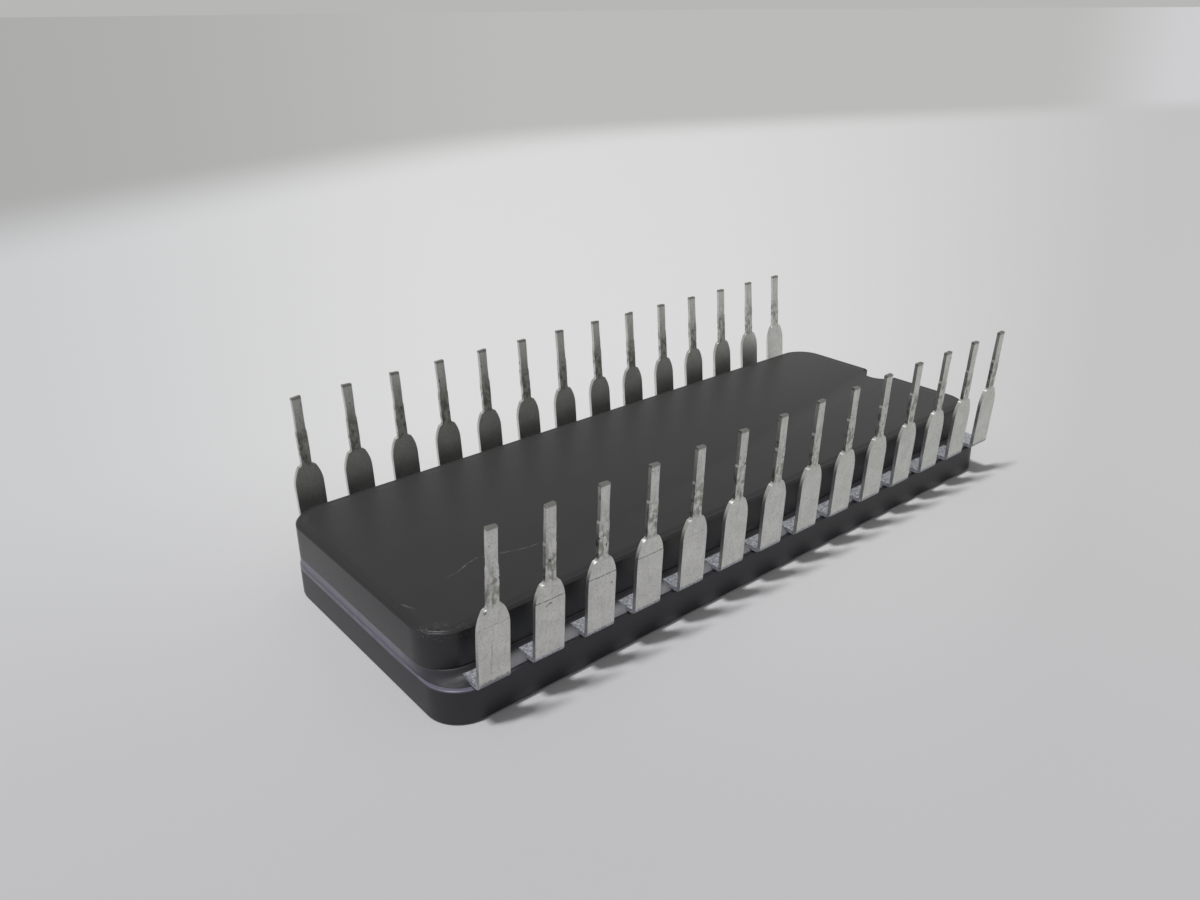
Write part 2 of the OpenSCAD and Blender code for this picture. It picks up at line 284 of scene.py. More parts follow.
# %% The glass as a mesh
def slice_across(bm, axis, places):
    normal = Vector((0, 0, 0))
    normal[axis] = 1
    for place in places:
        middle = Vector((0, 0, 0))
        middle[axis] = place
        bmesh.ops.bisect_plane(bm, geom=list(bm.verts) + list(bm.edges) + list(bm.faces),
                               plane_co=middle, plane_no=normal, dist=1e-5)


glass_low = Vector((BASE_LOW.x, BASE_LOW.y, LID_HIGH.z))
glass_high = Vector((BASE_HIGH.x, BASE_HIGH.y, BASE_LOW.z))
glass_blank = make_piece(round_plate(glass_low, glass_high), "glass_blank")
carve(glass_blank, notch_tool(glass_low, glass_high))
bm = reopen(glass_blank)
level_heights = [glass_high.z - glass_height * k / GLASS_LEVELS for k in range(1, GLASS_LEVELS)]
slice_across(bm, 2, level_heights)
straight = BASE_HIGH.x - CORNER_RADIUS
slice_across(bm, 0, [-straight + SLICE * k for k in range(int(2 * straight / SLICE) + 1)])
slice_across(bm, 1, [-4.5 + 0.5 * k for k in range(19)])
bm.normal_update()
outward = {}
for v in bm.verts:
    walls = [f.normal for f in v.link_faces if abs(f.normal.z) < 0.5]
    if walls:
        outward[v] = sum(walls, Vector()).normalized()
for v, way in outward.items():
    share = (glass_high.z - v.co.z) / glass_height
    beside_ledge = v.co.y < BASE_LOW.y + CORNER_RADIUS + 1e-3
    long_share = way.y ** 2 if beside_ledge else 0.0
    short_out, short_z = bead_section(share)
    long_out, long_z = fillet_section(share)
    out = short_out + (long_out - short_out) * long_share
    z = short_z + (long_z - short_z) * long_share
    wave = noise.noise(Vector((v.co.x * 0.9, v.co.y * 0.9, 3.0)))
    out += 0.05 * wave * long_share * share
    climb = 0.12 * math.exp(-(max(0.0, nearest_lead(v.co.x)) / 0.18) ** 2)
    if 0.2 < share < 0.99:
        z += climb * long_share * share
    if share > 0.99:
        z = LID_HIGH.z - 0.06 * (1 - long_share)
    v.co.x += way.x * out
    v.co.y += way.y * out
    v.co.z = max(z, LID_HIGH.z - 0.06 * (1 - long_share))
glass = make_piece(bm, "glass_seal")
window_side = Vector((CAVITY.x / 2 + 0.16, CAVITY.y / 2 + 0.16, 0))
carve(glass, make_piece(block((-window_side.x, -window_side.y, 1), (window_side.x, window_side.y, 3)),
                        "window_tool"))
shade(glass.data, 50)
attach(glass, "root")
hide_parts("seal_glass")
print("glass has", len(glass.data.polygons), "faces")

# %% [markdown]
# ## A lead
# A lead is stamped from thin sheet, plated, and bent up at a right angle. Its blade is wide near
# the body, and tapers through round shoulders, on which the package stands on a board, to a
# narrow pin. One face, the lead's cross-section, is carried along the whole lead: extruded along
# the flat run, spun round the bend and extruded up the blade with a new width at each stop. That
# keeps the sheet's thickness true, and every stop can be nudged a little, as in a stamped part.

# %% The blade's width at each height
BEND_MIDDLE = BEND_RADIUS + LEAD_THICKNESS / 2
BEND_TOP = (LEAD_THICKNESS + BEND_RADIUS - BEND_MIDDLE * math.sin(SPLAY)) / math.cos(SPLAY)
BEND_Y = BLADE_MIDDLE - BEND_MIDDLE * math.cos(SPLAY) + BEND_TOP * math.sin(SPLAY)
shoulder_x = SHOULDER_WIDTH / 2 - SHOULDER_RADIUS
shoulder_in = BLADE_WIDTH / 2 - shoulder_x
shoulder_rise = SHOULDER_HEIGHT - SHOULDER_RADIUS - TAPER_START
TAPER_RADIUS = ((shoulder_in ** 2 + shoulder_rise ** 2 - SHOULDER_RADIUS ** 2)
                / (2 * (shoulder_in - SHOULDER_RADIUS)))
taper_top = TAPER_START + shoulder_rise * TAPER_RADIUS / (TAPER_RADIUS - SHOULDER_RADIUS)


def half_width(height):
    """Half of the blade's width at a height above the bend's datum."""
    if height <= TAPER_START:
        return BLADE_WIDTH / 2
    if height <= taper_top:
        rise = height - TAPER_START
        return BLADE_WIDTH / 2 - TAPER_RADIUS + math.sqrt(TAPER_RADIUS ** 2 - rise ** 2)
    if height <= SHOULDER_HEIGHT:
        rise = height - SHOULDER_HEIGHT + SHOULDER_RADIUS
        return shoulder_x + math.sqrt(max(0.0, SHOULDER_RADIUS ** 2 - rise ** 2))
    past_shoulder = min(1.0, (height - SHOULDER_HEIGHT) / 0.1)
    past_step = min(1.0, max(0.0, (height - PIN_STEP) / 0.1 + 0.5))
    pin_half = (PIN_WIDTH + (PIN_END_WIDTH - PIN_WIDTH) * past_step) / 2
    return pin_half + 0.05 * (1 - past_shoulder) ** 2


def steps(start, end, count):
    return [start + (end - start) * (k + 1) / count for k in range(count)]


STOPS = (steps(BEND_TOP, TAPER_START, 6) + steps(TAPER_START, taper_top, 14)
         + steps(taper_top, SHOULDER_HEIGHT, 12)
         + [SHOULDER_HEIGHT + rise for rise in (0.01, 0.035, 0.07, 0.11)]
         + steps(SHOULDER_HEIGHT + 0.11, PIN_STEP - 0.06, 12) + [PIN_STEP + 0.06]
         + steps(PIN_STEP + 0.06, LEAD_HEIGHT, 12))
print("stops along the blade:", len(STOPS))


# %% Carrying the cross-section along
def extrude(bm, face):
    grown = bmesh.ops.extrude_face_region(bm, geom=[face])["geom"]
    return next(item for item in grown if isinstance(item, bmesh.types.BMFace))


def face_middle(face):
    return face.calc_center_median()


def lead_name(number):
    return f"lead_{number:02d}"


def lead_middle(number):
    """X of a lead's blade. Lead 1 stands beside the notch; the count runs down that row and back."""
    place = LEADS_PER_ROW - number if number <= LEADS_PER_ROW else number - LEADS_PER_ROW - 1
    return row_start + place * PITCH


def flat_path(number, x):
    """The finger in the glass, from its tip out to the blade: points in x and y, and half widths."""
    low, high = box_mm(lead_name(number))
    inner = -high.y if number <= LEADS_PER_ROW else low.y
    place = round((x - row_start) / PITCH)
    rank = min(place, LEADS_PER_ROW - 1 - place)
    middle_x = row_start + (LEADS_PER_ROW - 1) / 2 * PITCH
    wall = BASE_HIGH.y
    if rank < 3:
        end = -1 if place < 3 else 1
        tip_x = high.x if end < 0 else low.x
        tip = Vector((tip_x, inner + 0.19, 0))
        start = tip + Vector((end * 1.6, 0, 0))
        turn = wall - 0.8 - 0.7 - (2 - rank) * 0.4
    else:
        outer = high.x if x < middle_x else low.x
        tip = Vector((outer - math.copysign(0.19, middle_x - x), inner, 0))
        start = tip + Vector((0, 0.6, 0))
        turn = wall - 0.8
    points = [tip, start, Vector((x, turn, 0)), Vector((x, wall - 0.4, 0)), Vector((x, BEND_Y, 0))]
    return points, [0.19, 0.19, 0.3, BLADE_WIDTH / 2, BLADE_WIDTH / 2]


def flat_blank(bm, points, halves):
    """Carry an edge along the path to make the flat sheet, and give it its thickness."""
    def across(k):
        before = (points[k] - points[k - 1]).normalized() if k else None
        after = (points[k + 1] - points[k]).normalized() if k + 1 < len(points) else None
        ways = [Vector((-way.y, way.x, 0)) for way in (before, after) if way]
        total = sum(ways, Vector())
        return total * (len(ways) / total.length_squared)

    left, right = (bm.verts.new(points[0] + across(0) * halves[0] * side) for side in (1, -1))
    edge = bm.edges.new((left, right))
    for k in range(1, len(points)):
        grown = bmesh.ops.extrude_edge_only(bm, edges=[edge])["geom"]
        edge = next(item for item in grown if isinstance(item, bmesh.types.BMEdge))
        a, b = edge.verts
        offset = across(k) * halves[k]
        a.co = points[k] + offset
        b.co = points[k] - offset
    sheet = bmesh.ops.extrude_face_region(bm, geom=list(bm.faces))["geom"]
    top = [item for item in sheet if isinstance(item, bmesh.types.BMVert)]
    bmesh.ops.translate(bm, vec=(0, 0, LEAD_THICKNESS), verts=top)
    bmesh.ops.translate(bm, vec=(0, 0, LEAD_BOTTOM), verts=bm.verts)


def build_lead(number):
    chance = random.Random(1000 + number)
    x = lead_middle(number)
    bm = bmesh.new()
    points, halves = flat_path(number, x)
    flat_blank(bm, points, halves)
    section = max(bm.faces, key=lambda f: face_middle(f).y)
    bend = bmesh.ops.spin(bm, geom=[section], cent=(x, BEND_Y, LEAD_BOTTOM + LEAD_THICKNESS + BEND_RADIUS),
                          axis=(1, 0, 0), dvec=(0, 0, 0), angle=math.pi / 2 - SPLAY, steps=24,
                          use_merge=False, use_normal_flip=False, use_duplicate=False)
    section = next(item for item in bend["geom_last"] if isinstance(item, bmesh.types.BMFace))
    up = Vector((0, math.sin(SPLAY), math.cos(SPLAY)))
    height = BEND_TOP
    waves = [chance.uniform(0, 2 * math.pi) for side in range(2)]
    for stop in STOPS:
        section = extrude(bm, section)
        wanted = half_width(stop)
        sway = 0.008 if stop > SHOULDER_HEIGHT else 0.003
        left, right = (wanted + sway * math.sin(stop * 2.7 + wave) for wave in waves)
        for v in section.verts:
            v.co += up * (stop - height)
            v.co.x = x - left if v.co.x < x else x + right
        height = stop
    slant = chance.uniform(-0.05, 0.05)
    for v in section.verts:
        v.co += up * (slant * (v.co.x - x) / PIN_END_WIDTH + chance.uniform(-0.01, 0.01))
    bmesh.ops.remove_doubles(bm, verts=bm.verts, dist=1e-5)
    bmesh.ops.recalc_face_normals(bm, faces=bm.faces)
    corners = [e for e in bm.edges if len(e.link_faces) == 2 and e.calc_face_angle() > 0.9
               and min(v.co.y for v in e.verts) > BASE_HIGH.y]
    bmesh.ops.bevel(bm, geom=corners, offset=0.015, segments=2, profile=0.5,
                    affect="EDGES", material=-1, clamp_overlap=True)
    if number <= LEADS_PER_ROW:
        bmesh.ops.mirror(bm, geom=list(bm.verts) + list(bm.edges) + list(bm.faces),
                         matrix=Matrix(), merge_dist=-1, axis="Y")
        original = [v for v in bm.verts if v.co.y > 0]
        bmesh.ops.delete(bm, geom=original, context="VERTS")
    return bm


# %% All the leads
leads = []
for number in range(1, LEAD_COUNT + 1):
    lead = make_piece(build_lead(number), f"pin_{number:02d}")
    lead.data.polygons.foreach_set("use_smooth", [False] * len(lead.data.polygons))
    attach(lead, "root")
    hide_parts(lead_name(number))
    leads.append(lead)
print("leads:", len(leads), "with", len(leads[0].data.polygons), "faces in the first")

# %% [markdown]
# ## Shader maths as plain Python
# A material in Blender is a graph of nodes. Writing `a * b + c` is easier to read than wiring
# nodes, so a small class wraps a socket and turns each operator into a Math node. Everything else
# goes through one method that makes any node.


# %% A class for numbers and one for materials
def tone(red, green, blue):
    """A colour as a picture shows it, 0 to 255, as the linear light that shaders work in."""
    def linear(part):
        share = part / 255
        return share / 12.92 if share <= 0.04045 else ((share + 0.055) / 1.055) ** 2.4
    return (linear(red), linear(green), linear(blue), 1.0)


class Field:
    """A number or a vector that a shader works out at each point of a surface."""

    def __init__(self, paint, socket):
        self.paint = paint
        self.socket = socket

    def math(self, operation, *others):
        return self.paint.node("ShaderNodeMath", {"operation": operation}, [self, *others])

    def __add__(self, other):
        return self.math("ADD", other)

    __radd__ = __add__

    def __mul__(self, other):
        return self.math("MULTIPLY", other)

    __rmul__ = __mul__

    def __sub__(self, other):
        return self.math("SUBTRACT", other)

    def __rsub__(self, other):
        return self.paint.node("ShaderNodeMath", {"operation": "SUBTRACT"}, [other, self])

    def __truediv__(self, other):
        return self.math("DIVIDE", other)

    def __abs__(self):
        return self.math("ABSOLUTE")

    def above(self, low, high):
        """0 below low, 1 above high, and a smooth step between; low may be the higher one."""
        return self.paint.node("ShaderNodeMapRange", {"interpolation_type": "SMOOTHSTEP"},
                               {"Value": self, "From Min": low, "From Max": high})

    def at_most(self, other):
        return self.math("MINIMUM", other)

    def at_least(self, other):
        return self.math("MAXIMUM", other)

    def root(self):
        return self.math("SQRT")


class Paint:
    """One material, with its principled shader and a method that makes any node."""

    def __init__(self, name, constants):
        self.material = bpy.data.materials.new(name)
        self.material.use_nodes = True
        self.tree = self.material.node_tree
        self.shader = self.tree.nodes["Principled BSDF"]
        for socket, value in constants.items():
            self.shader.inputs[socket].default_value = value

    def node(self, kind, settings=None, inputs=(), output=0):
        made = self.tree.nodes.new(kind)
        for key, value in (settings or {}).items():
            if key == "stops":
                self.set_stops(made.color_ramp, value)
            else:
                setattr(made, key, value)
        pairs = inputs.items() if isinstance(inputs, dict) else enumerate(inputs)
        for key, value in pairs:
            self.connect(made.inputs[key], value)
        return Field(self, made.outputs[output])

    def set_stops(self, ramp, stops):
        while len(ramp.elements) < len(stops):
            ramp.elements.new(1.0)
        for element, (position, colour) in zip(ramp.elements, stops):
            element.position = position
            element.color = colour

    def connect(self, socket, value):
        if isinstance(value, Field):
            self.tree.links.new(value.socket, socket)
        else:
            socket.default_value = value

    def feed(self, socket, value):
        self.connect(self.shader.inputs[socket], value)

    def place(self, scale=1000.0):
        """The point on the object, in millimetres."""
        spot = self.node("ShaderNodeTexCoord", output="Object")
        return self.node("ShaderNodeVectorMath", {"operation": "SCALE"}, {0: spot, "Scale": scale})

    def parts(self, vector):
        split = self.node("ShaderNodeSeparateXYZ", inputs=[vector])
        return [Field(self, split.socket.node.outputs[k]) for k in range(3)]

    def stretch(self, vector, by):
        return self.node("ShaderNodeVectorMath", {"operation": "MULTIPLY"}, [vector, by])

    def noise(self, vector, scale, detail=3.0, roughness=0.55):
        return self.node("ShaderNodeTexNoise", inputs={
            "Vector": vector, "Scale": scale, "Detail": detail, "Roughness": roughness})

    def specks(self, vector, scale, size):
        """Round specks: 1 inside a speck and 0 outside."""
        distance = self.node("ShaderNodeTexVoronoi", inputs={"Vector": vector, "Scale": scale})
        return distance.above(size, size * 0.5)

    def mix(self, share, first, second):
        return self.node("ShaderNodeMix", {"data_type": "RGBA"},
                         {"Factor": share, 6: first, 7: second}, output=2)

    def rim(self, x, y, low, high, radius):
        """How far a point lies in from the edge of a plate with round corners."""
        middle = (low + high) / 2
        half = (high - low) / 2
        past_x = abs(x - middle.x) - (half.x - radius)
        past_y = abs(y - middle.y) - (half.y - radius)
        corner_x = past_x.at_least(0.0)
        corner_y = past_y.at_least(0.0)
        outside = (corner_x * corner_x + corner_y * corner_y).root()
        return radius - outside - past_x.at_least(past_y).at_most(0.0)

    def bump(self, height, distance, strength=1.0):
        self.feed("Normal", self.node("ShaderNodeBump", inputs={
            "Height": height, "Distance": distance, "Strength": strength}))

    def whole(self):
        return Field(self, self.shader.outputs[0])

    def output(self, surface):
        self.connect(self.tree.nodes["Material Output"].inputs["Surface"], surface)


# %% [markdown]
# ## Fired ceramic
# The ceramic is alumina coloured nearly black. It is matt and slightly mottled. Just inside its
# rim the pressed face rolls off, and the shade there is painted in as a darker line. The rim is worn
# a shade paler, and handling has left fine scratches and pale scuffs at the corner beside lead 14.


# %% The ceramic finish
def scratch(paint, x, y, points, width):
    """A scratch through a few points, in millimetres: 1 on it and 0 beside it."""
    nearest = None
    for start, end in zip(points, points[1:]):
        run = Vector(end) - Vector(start)
        along = ((x - start[0]) * run.x + (y - start[1]) * run.y) / run.length_squared
        along = along.at_least(0.0).at_most(1.0)
        off_x = x - start[0] - along * run.x
        off_y = y - start[1] - along * run.y
        distance = (off_x * off_x + off_y * off_y).root()
        nearest = distance if nearest is None else nearest.at_most(distance)
    return nearest.above(width, width * 0.3)


def near_point(x, y, point, reach):
    """1 at a point, and 0 from this far away."""
    off_x = x - point[0]
    off_y = y - point[1]
    return (off_x * off_x + off_y * off_y).root().above(reach, reach * 0.2)


def ceramic_paint(name, colour, low, high):
    """Mottled matt ceramic, and the distance in from its rim; more can be painted over it."""
    paint = Paint(name, {"Specular IOR Level": 0.56})
    spot = paint.place()
    x, y, z = paint.parts(spot)
    grain = paint.noise(spot, 7.0, 4.0)
    mottle = paint.noise(spot, 0.5, 3.0)
    pits = paint.specks(spot, 2.6, 0.06)
    rim = paint.rim(x, y, low, high, CORNER_RADIUS)
    look = paint.mix(mottle.above(0.3, 0.7), shift(colour, 0.9), shift(colour, 1.08))
    look = paint.mix(grain.above(0.4, 0.8) * 0.4, look, shift(colour, 1.25))
    look = paint.mix(pits * 0.5, look, shift(colour, 0.6))
    paint.feed("Roughness", grain * 0.15 + 0.31)
    return paint, look, (spot, x, y, z, rim, grain)


def shift(colour, times):
    return tuple(part * times for part in colour[:3]) + (1.0,)


def finish(piece, paint, look):
    paint.feed("Base Color", look)
    piece.data.materials.clear()
    piece.data.materials.append(paint.material)


# %% Ceramic of the base
BASE_TONE = tone(28, 28, 31)
ROLL_OFF = 0.55
CORNER_SCUFFS = [(-17.11, -5.74), (-17.6, -6.2), (-17.62, -5.6), (-17.4, -6.1), (-16.5, -6.4)]
SCRATCHES = [
    ([(-17.61, -3.36), (-17.29, -4.19)], 0.06, 0.2),
    ([(-15.15, -2.99), (-14.62, -2.94), (-13.92, -2.62), (-13.44, -2.5)], 0.045, 0.36),
    ([(-13.44, -2.5), (-11.41, -3.17), (-9.73, -3.27)], 0.05, 0.2),
]
paint, look, (spot, x, y, z, rim, grain) = ceramic_paint("base_ceramic", BASE_TONE, BASE_LOW, BASE_HIGH)
on_top = z.above(BASE_HIGH.z - 0.06, BASE_HIGH.z - 0.02)
chamfer_in = RIM_BEVEL + 0.02
# Painted shade: the roll-off just inside the rim is painted darker, as a line of shade.
roll_off_painted_shade = rim.above(ROLL_OFF, chamfer_in) * on_top
look = paint.mix(roll_off_painted_shade * 0.8, look, shift(BASE_TONE, 0.4))
paint.bump(grain * 0.0006 - rim.above(ROLL_OFF + 0.05, chamfer_in - 0.05) * on_top * 0.03, MM)
breaks = paint.noise(spot, 5.0, 4.0)
marks = 0.0
for points, width, strength in SCRATCHES:
    marks = scratch(paint, x, y, points, width) * strength + marks
look = paint.mix(marks * on_top * breaks.above(0.35, 0.6), look, tone(150, 150, 154))
sparks = paint.noise(spot, 16.0, 2.0).above(0.6, 0.68)
scuffs = 0.0
for point in CORNER_SCUFFS:
    scuffs = near_point(x, y, point, 0.5) + scuffs
scuffs = scuffs * z.above(BASE_HIGH.z - 0.42, BASE_HIGH.z - 0.28)
edge = abs(z - BASE_HIGH.z + RIM_BEVEL).above(0.08, 0.02) + abs(rim - RIM_BEVEL).above(0.08, 0.02) * on_top
look = paint.mix(scuffs.at_most(1.0) * sparks * 0.5, look, tone(134, 134, 140))
look = paint.mix(edge.at_most(1.0) * sparks * 0.25, look, tone(110, 110, 114))
finish(base, paint, look)

# %% Ceramic of the lid
LID_TONE = tone(34, 31, 36)
paint, look, (spot, x, y, z, rim, grain) = ceramic_paint("lid_ceramic", LID_TONE, LID_LOW, LID_HIGH)
# Painted highlight: a pale bluish band along the top of the lid's rim at its short end, over a smoother glaze; it
# is thin at the near corner and wider further along.
rim_highlight_reach = y.above(-6.4, -3.0) * 0.12 + 0.05
glaze_and_painted_highlight = (z - LID_HIGH.z + rim_highlight_reach).above(-0.03, 0.03) * x.above(-14.5, -16.5)
flow = paint.noise(spot, 2.2, 3.0)
look = paint.mix(glaze_and_painted_highlight * (flow * 0.5 + 0.4), look, tone(122, 121, 138))
paint.feed("Roughness", (grain * 0.15 + 0.34) * (1.0 - glaze_and_painted_highlight * 0.2))
finish(lid, paint, look)

# %% [markdown]
# ## Sealing glass
# The glass is full of lead oxide and a dark filler, and is smoother than the ceramic. Where it bulges
# out of the seam at the short end it carries a painted bluish highlight, and low down on the
# ledge between the leads it is painted a lighter grey.

# %% The glass finish
paint = Paint("seal_glass", {"Specular IOR Level": 0.5})
spot = paint.place()
x, y, z = paint.parts(spot)
flow = paint.noise(spot, 1.1, 3.0)
fine = paint.noise(spot, 9.0, 3.0)
low_down = z.above(LID_HIGH.z + 0.3, LID_HIGH.z + 0.08)
look = paint.mix(flow.above(0.35, 0.65), tone(44, 44, 48), tone(54, 54, 59))
# Lighter grey low down, on the ledge between the leads, away from the near corner.
look = paint.mix(low_down * x.above(-16.9, -15.6), look, paint.mix(flow.above(0.35, 0.65), tone(104, 104, 108), tone(120, 120, 124)))
# Painted highlight: a pale bluish band on the glass along the short end, fading towards the near corner.
short_end_painted_highlight = x.above(-17.2, -17.75) * y.above(-6.2, -3.5)
look = paint.mix(short_end_painted_highlight * (flow * 0.5 + 0.6).at_most(1.0), look, tone(124, 123, 136))
paint.feed("Roughness", fine * 0.2 + low_down * 0.25 + 0.32)
paint.bump(flow * 0.004 + fine * 0.001, MM)
finish(glass, paint, look)

# %% [markdown]
# ## Tinned leads
# The sheet is an iron-nickel alloy with a dull tin coat. The coat is smeared along the pins,
# where tools and sockets have rubbed it, and dark specks show where it is missing. A fine scribed
# line crosses the outer faces of a few blades, and the sheared end of each pin is bare, darker
# metal. The flat runs on the ledge have a rough, bright coat, with a painted pale bluish reflection
# over it. Small white glints on the left shoulders of the near leads are painted highlights.

# %% The lead finish
TIN_TONE = tone(216, 216, 212)
LINE_HEIGHT = 4.4
paint = Paint("tinned_lead", {"Metallic": 1.0})
spot = paint.place()
x, y, z = paint.parts(spot)
smear = paint.noise(paint.stretch(spot, (9.0, 9.0, 0.9)), 1.0, 4.0)
grain = paint.noise(spot, 11.0, 4.0)
cloud = paint.noise(spot, 1.3, 3.0)
shoulder_z = LEAD_BOTTOM + SHOULDER_HEIGHT
on_pin = z.above(shoulder_z - 0.15, shoulder_z + 0.15)
low_pin = on_pin * z.above(shoulder_z + 2.4, shoulder_z + 1.0)
on_run = z.above(LEAD_BOTTOM + LEAD_THICKNESS + 0.12, LEAD_BOTTOM + LEAD_THICKNESS)
leaning = (z - LEAD_BOTTOM) * math.tan(SPLAY)
outer_face = (0.0 - y - leaning).above(BLADE_MIDDLE, BLADE_MIDDLE + 0.05)
look = paint.mix(cloud.above(0.3, 0.7), shift(TIN_TONE, 0.92), shift(TIN_TONE, 1.04))
look = paint.mix(smear.above(0.48, 0.72) * (on_pin * 0.4 + 0.2), look, shift(TIN_TONE, 0.6))
blotches = paint.noise(paint.stretch(spot, (1.0, 1.0, 0.6)), 5.0, 4.0)
look = paint.mix(low_pin * blotches.above(0.42, 0.62) * 0.8, look, tone(128, 128, 117))
spots = paint.noise(paint.stretch(spot, (6.0, 6.0, 3.0)), 1.0, 3.0).above(0.66, 0.71)
look = paint.mix(spots * (on_pin * 0.8 + 0.12), look, tone(84, 82, 74))
look = paint.mix(grain.above(0.42, 0.7) * 0.28, look, tone(142, 141, 134))
# The runs' rough coat is painted pale and bluish: partly the coat's own colour, partly a painted reflection of
# the bright surroundings.
look = paint.mix(on_run, look, paint.mix(grain.above(0.4, 0.62), tone(150, 152, 160), tone(206, 208, 216)))


def window(field, middle, reach):
    """1 in the middle of a stretch of this field, fading to 0 at its ends."""
    return abs(field - middle).above(reach, reach * 0.7)


def blot(x, z, middle_x, middle_z, wide, tall):
    """A soft spot on the face of a blade."""
    off_x = (x - middle_x) / wide
    off_z = (z - middle_z) / tall
    return (off_x * off_x + off_z * off_z).root().above(1.0, 0.4)


scribe = abs(z - LINE_HEIGHT + (cloud - 0.5) * 0.12).above(0.032, 0.012)
scribed = window(x, -11.0, 4.6) * 0.8 + window(x, -16.1, 0.9) * 0.3 + window(x, -5.9, 0.9) * 0.25
scribe_breaks = grain.above(0.36, 0.56) * 0.5 + 0.5
look = paint.mix(scribe * outer_face * scribed * scribe_breaks, look, tone(92, 92, 88))
across = (x - row_start).math("WRAP", PITCH / 2, -PITCH / 2)
# Painted highlight: small white glints at the left shoulders of the near leads.
shoulder_painted_glint = blot(across, z, -0.4, shoulder_z - 0.02, 0.12, 0.13) * window(x, -8.6, 6.0) * cloud.above(0.35, 0.5)
look = paint.mix(shoulder_painted_glint * outer_face, look, tone(252, 252, 254))
blots = 0.0
for mark in [
    (-13.6, 4.22, 0.16, 0.07, 0.6),
    (-13.75, 4.16, 0.1, 0.06, 0.5),
    (-10.56, 3.9, 0.07, 0.07, 0.8),
    (-16.23, 3.31, 0.04, 0.5, 0.3),
    (-16.28, 2.6, 0.05, 0.4, 0.2),
    (-16.49, 5.05, 0.09, 0.09, 0.7),
]:
    blots = blot(x, z, *mark[:4]) * mark[4] + blots
look = paint.mix(blots * outer_face, look, tone(96, 95, 90))
# A darker band across the outer face of the end lead, at its bend.
dark_band_at_bend = window(x, -16.1, 0.75) * window(z, 1.86, 0.13) * grain.above(0.42, 0.55)
look = paint.mix(dark_band_at_bend * outer_face * 0.6, look, tone(100, 98, 92))
tip_z = box_mm("lead_01")[1].z
tip = z.above(tip_z - 0.16, tip_z - 0.06)
look = paint.mix(tip * 0.75, look, tone(118, 117, 114))
paint.feed("Roughness", grain * 0.14 + smear * 0.08 + on_run * 0.22 + shoulder_painted_glint * 0.2 + 0.24)
paint.feed("Metallic", 1.0 - on_run * 0.35 - shoulder_painted_glint * outer_face * 0.7)
paint.bump(grain * 0.35 + smear * 0.5 + on_run * grain * 2.0 - scribe * outer_face * 0.6, 0.0001, 0.035)
for lead in leads:
    finish(lead, paint, look)

# %% [markdown]
# ## The chip inside
# The chip, the gold that holds it and the bonding wires are sealed in the dark cavity. Their CAD
# solids have the right shape and only need a finish.


# %% Finishes of the inner parts
def inner_paint(name, colour, metallic, roughness, scale):
    paint = Paint(name, {"Metallic": metallic})
    spot = paint.place()
    change = paint.noise(spot, scale, 4.0)
    darker = tuple(part * 0.8 for part in colour[:3]) + (1.0,)
    paint.feed("Base Color", paint.mix(change, darker, colour))
    paint.feed("Roughness", change * 0.15 + roughness)
    return paint.material


for node, material in (
    ("chip", inner_paint("silicon", tone(120, 126, 140), 0.6, 0.15, 3.0)),
    ("chip_attach", inner_paint("gold_attach", tone(212, 176, 88), 1.0, 0.35, 5.0)),
    ("bond_wires", inner_paint("aluminium_wire", tone(214, 215, 218), 1.0, 0.3, 20.0)),
):
    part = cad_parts[node]
    part.data.materials.clear()
    part.data.materials.append(material)

# %% [markdown]
# ## Table, lamps and camera
# The table is a wide pale plane. Far behind the part it turns into a darker zone with a round
# bend in its edge, where the picture shows an out-of-focus wall. That zone shows its own colour
# to the camera and to reflections. The only lamp is a strip overhead, which gives each lead a
# short shadow that is blurred along the row. A pale even sky fills the shadows.

# %% The table
TABLE_REACH = 6000
BEND_PLACE = (88.0, 175.0)
BEND_SLOPE = 0.47
BEND_ROUNDING = 20.0
CAMERA_PLACE = Vector((-32.15, -34.02, 25.06))
bm = bmesh.new()
bmesh.ops.create_grid(bm, x_segments=1, y_segments=1, size=TABLE_REACH)
table = make_piece(bm, "table", tidy=False)
paint = Paint("table", {"Roughness": 0.8, "Specular IOR Level": 0.15})
x, y, z = paint.parts(paint.place())
sideways = (x - BEND_PLACE[0]) * BEND_SLOPE
depth = y - BEND_PLACE[1] + (sideways * sideways + BEND_ROUNDING ** 2).root()
away_y = (y - CAMERA_PLACE.y).at_least(1.0)
heading = (x - CAMERA_PLACE.x) / away_y
away_x = x - CAMERA_PLACE.x
distance = (away_x * away_x + away_y * away_y).root()
# Painted light: the floor is painted paler to the left and far off and darker near the camera, standing in for
# the room's uneven light.
far_look = paint.mix(heading.above(0.0, 0.6), tone(204, 205, 207), tone(222, 222, 222))
far_look = paint.mix(heading.above(0.7, 2.6), far_look, tone(198, 198, 198))
floor_look = paint.mix(distance.above(22.0, 62.0), tone(193, 192, 195), far_look)
paint.feed("Base Color", floor_look)
wall_look = paint.mix(heading.above(0.1, 0.75), tone(172, 172, 171), tone(187, 187, 185))
wall_look = paint.mix(heading.above(1.9, 2.6), wall_look, tone(206, 206, 208))
glow = paint.node("ShaderNodeEmission", inputs={"Color": wall_look})
rays = paint.node("ShaderNodeLightPath")
seen = Field(paint, rays.socket.node.outputs["Is Camera Ray"])
mirrored = Field(paint, rays.socket.node.outputs["Is Glossy Ray"])
in_zone = depth.above(-40.0, 10.0) * (seen + mirrored).at_most(1.0)
both = paint.node("ShaderNodeMixShader", inputs={0: in_zone, 1: paint.whole(), 2: glow})
paint.output(both)
table.data.materials.append(paint.material)


# %% The lamps
LAMP_DISTANCE = 6000


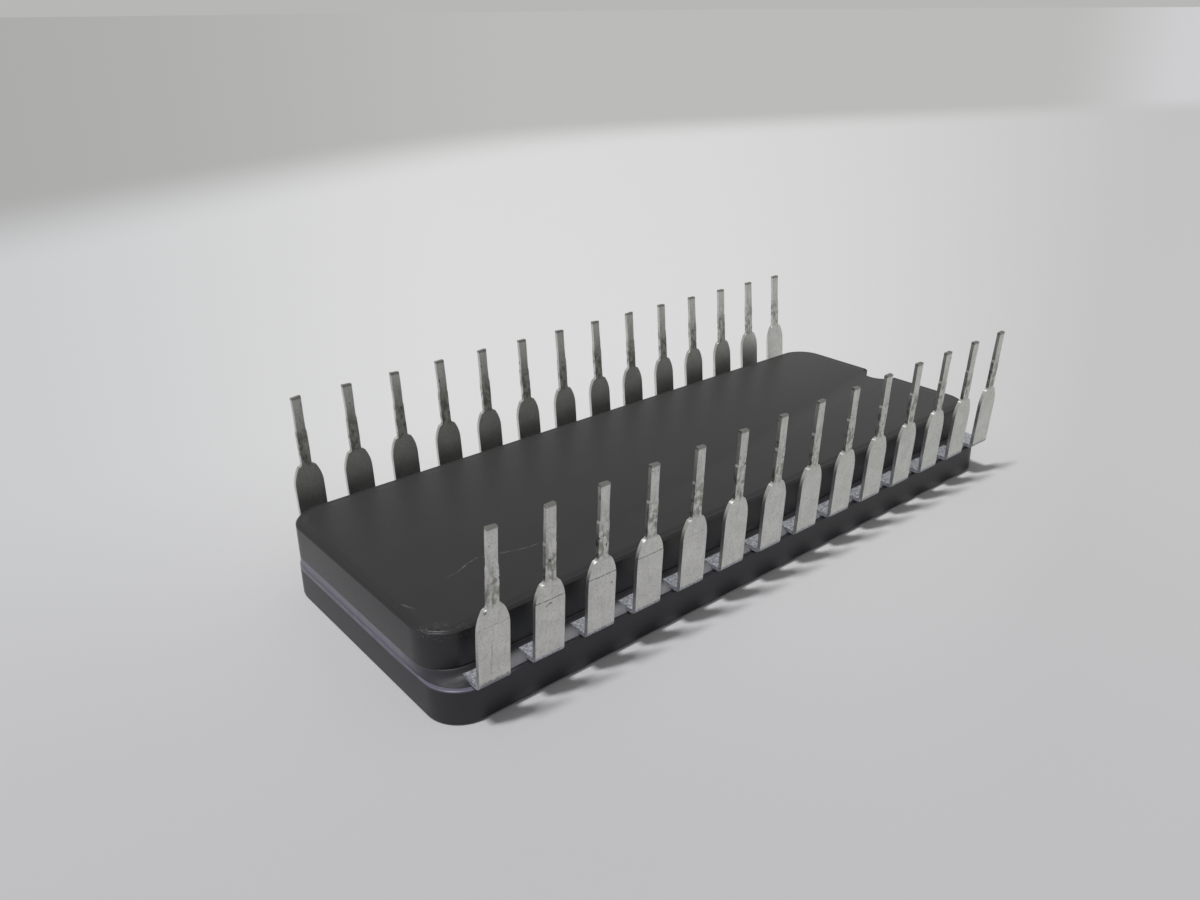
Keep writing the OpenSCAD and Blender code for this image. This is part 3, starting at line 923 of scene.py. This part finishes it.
def lamp(name, way, wide, deep, share):
    """A rectangular lamp far away. Its size is in degrees, and it gives this share of the light
    under which a colour renders as it is written."""
    light = bpy.data.lights.new(name, "AREA")
    light.shape = "RECTANGLE"
    light.size = 2 * math.tan(math.radians(wide / 2)) * LAMP_DISTANCE * MM
    light.size_y = 2 * math.tan(math.radians(deep / 2)) * LAMP_DISTANCE * MM
    away = Vector(way).normalized() * LAMP_DISTANCE
    light.energy = share * math.pi ** 2 * (LAMP_DISTANCE * MM) ** 2
    holder = bpy.data.objects.new(name, light)
    holder.location = away * MM
    side = Vector((1, 0, 0)) if abs(away.z) > abs(away.x) else Vector((0, 1, 0))
    side = (side - away * side.dot(away) / away.length_squared).normalized()
    back = away.normalized()
    holder.rotation_euler = Matrix((side, back.cross(side), back)).transposed().to_euler()
    bpy.context.scene.collection.objects.link(holder)


SKY_SHARE = 0.32
lamp("overhead_lamp", (-0.26, 0.05, 1.0), 11, 3, 0.68)
world = bpy.data.worlds.new("room")
world.use_nodes = True
tree = world.node_tree
room = tree.nodes["Background"]
room.inputs["Color"].default_value = (1.0, 1.0, 1.0, 1.0)
room.inputs["Strength"].default_value = SKY_SHARE
skyline = tree.nodes.new("ShaderNodeBackground")
skyline.inputs["Color"].default_value = tone(183, 183, 181)
ray_kind = tree.nodes.new("ShaderNodeLightPath")
either = tree.nodes.new("ShaderNodeMath")
either.operation = "MAXIMUM"
tree.links.new(ray_kind.outputs["Is Camera Ray"], either.inputs[0])
tree.links.new(ray_kind.outputs["Is Glossy Ray"], either.inputs[1])
choose = tree.nodes.new("ShaderNodeMixShader")
tree.links.new(either.outputs[0], choose.inputs[0])
tree.links.new(room.outputs[0], choose.inputs[1])
tree.links.new(skyline.outputs[0], choose.inputs[2])
tree.links.new(choose.outputs[0], tree.nodes["World Output"].inputs["Surface"])
bpy.context.scene.world = world
bpy.context.scene.view_settings.view_transform = "Standard"

# %% The camera
CAMERA_TURN = (68.01, 0.457, -40.235)
PICTURE_WIDTH = 1200
FOCAL_PIXELS = 991.6
MIDDLE_OFF_PIXELS = (17.2, -42.7)
camera_data = bpy.data.cameras.new("camera")
camera_data.sensor_width = 36
camera_data.lens = FOCAL_PIXELS / PICTURE_WIDTH * camera_data.sensor_width
camera_data.shift_x = -MIDDLE_OFF_PIXELS[0] / PICTURE_WIDTH
camera_data.shift_y = MIDDLE_OFF_PIXELS[1] / PICTURE_WIDTH
camera_data.clip_start = 0.001
camera_data.clip_end = 10
camera = bpy.data.objects.new("camera", camera_data)
camera.location = CAMERA_PLACE * MM
camera.rotation_euler = [math.radians(angle) for angle in CAMERA_TURN]
bpy.context.scene.collection.objects.link(camera)
bpy.context.scene.camera = camera
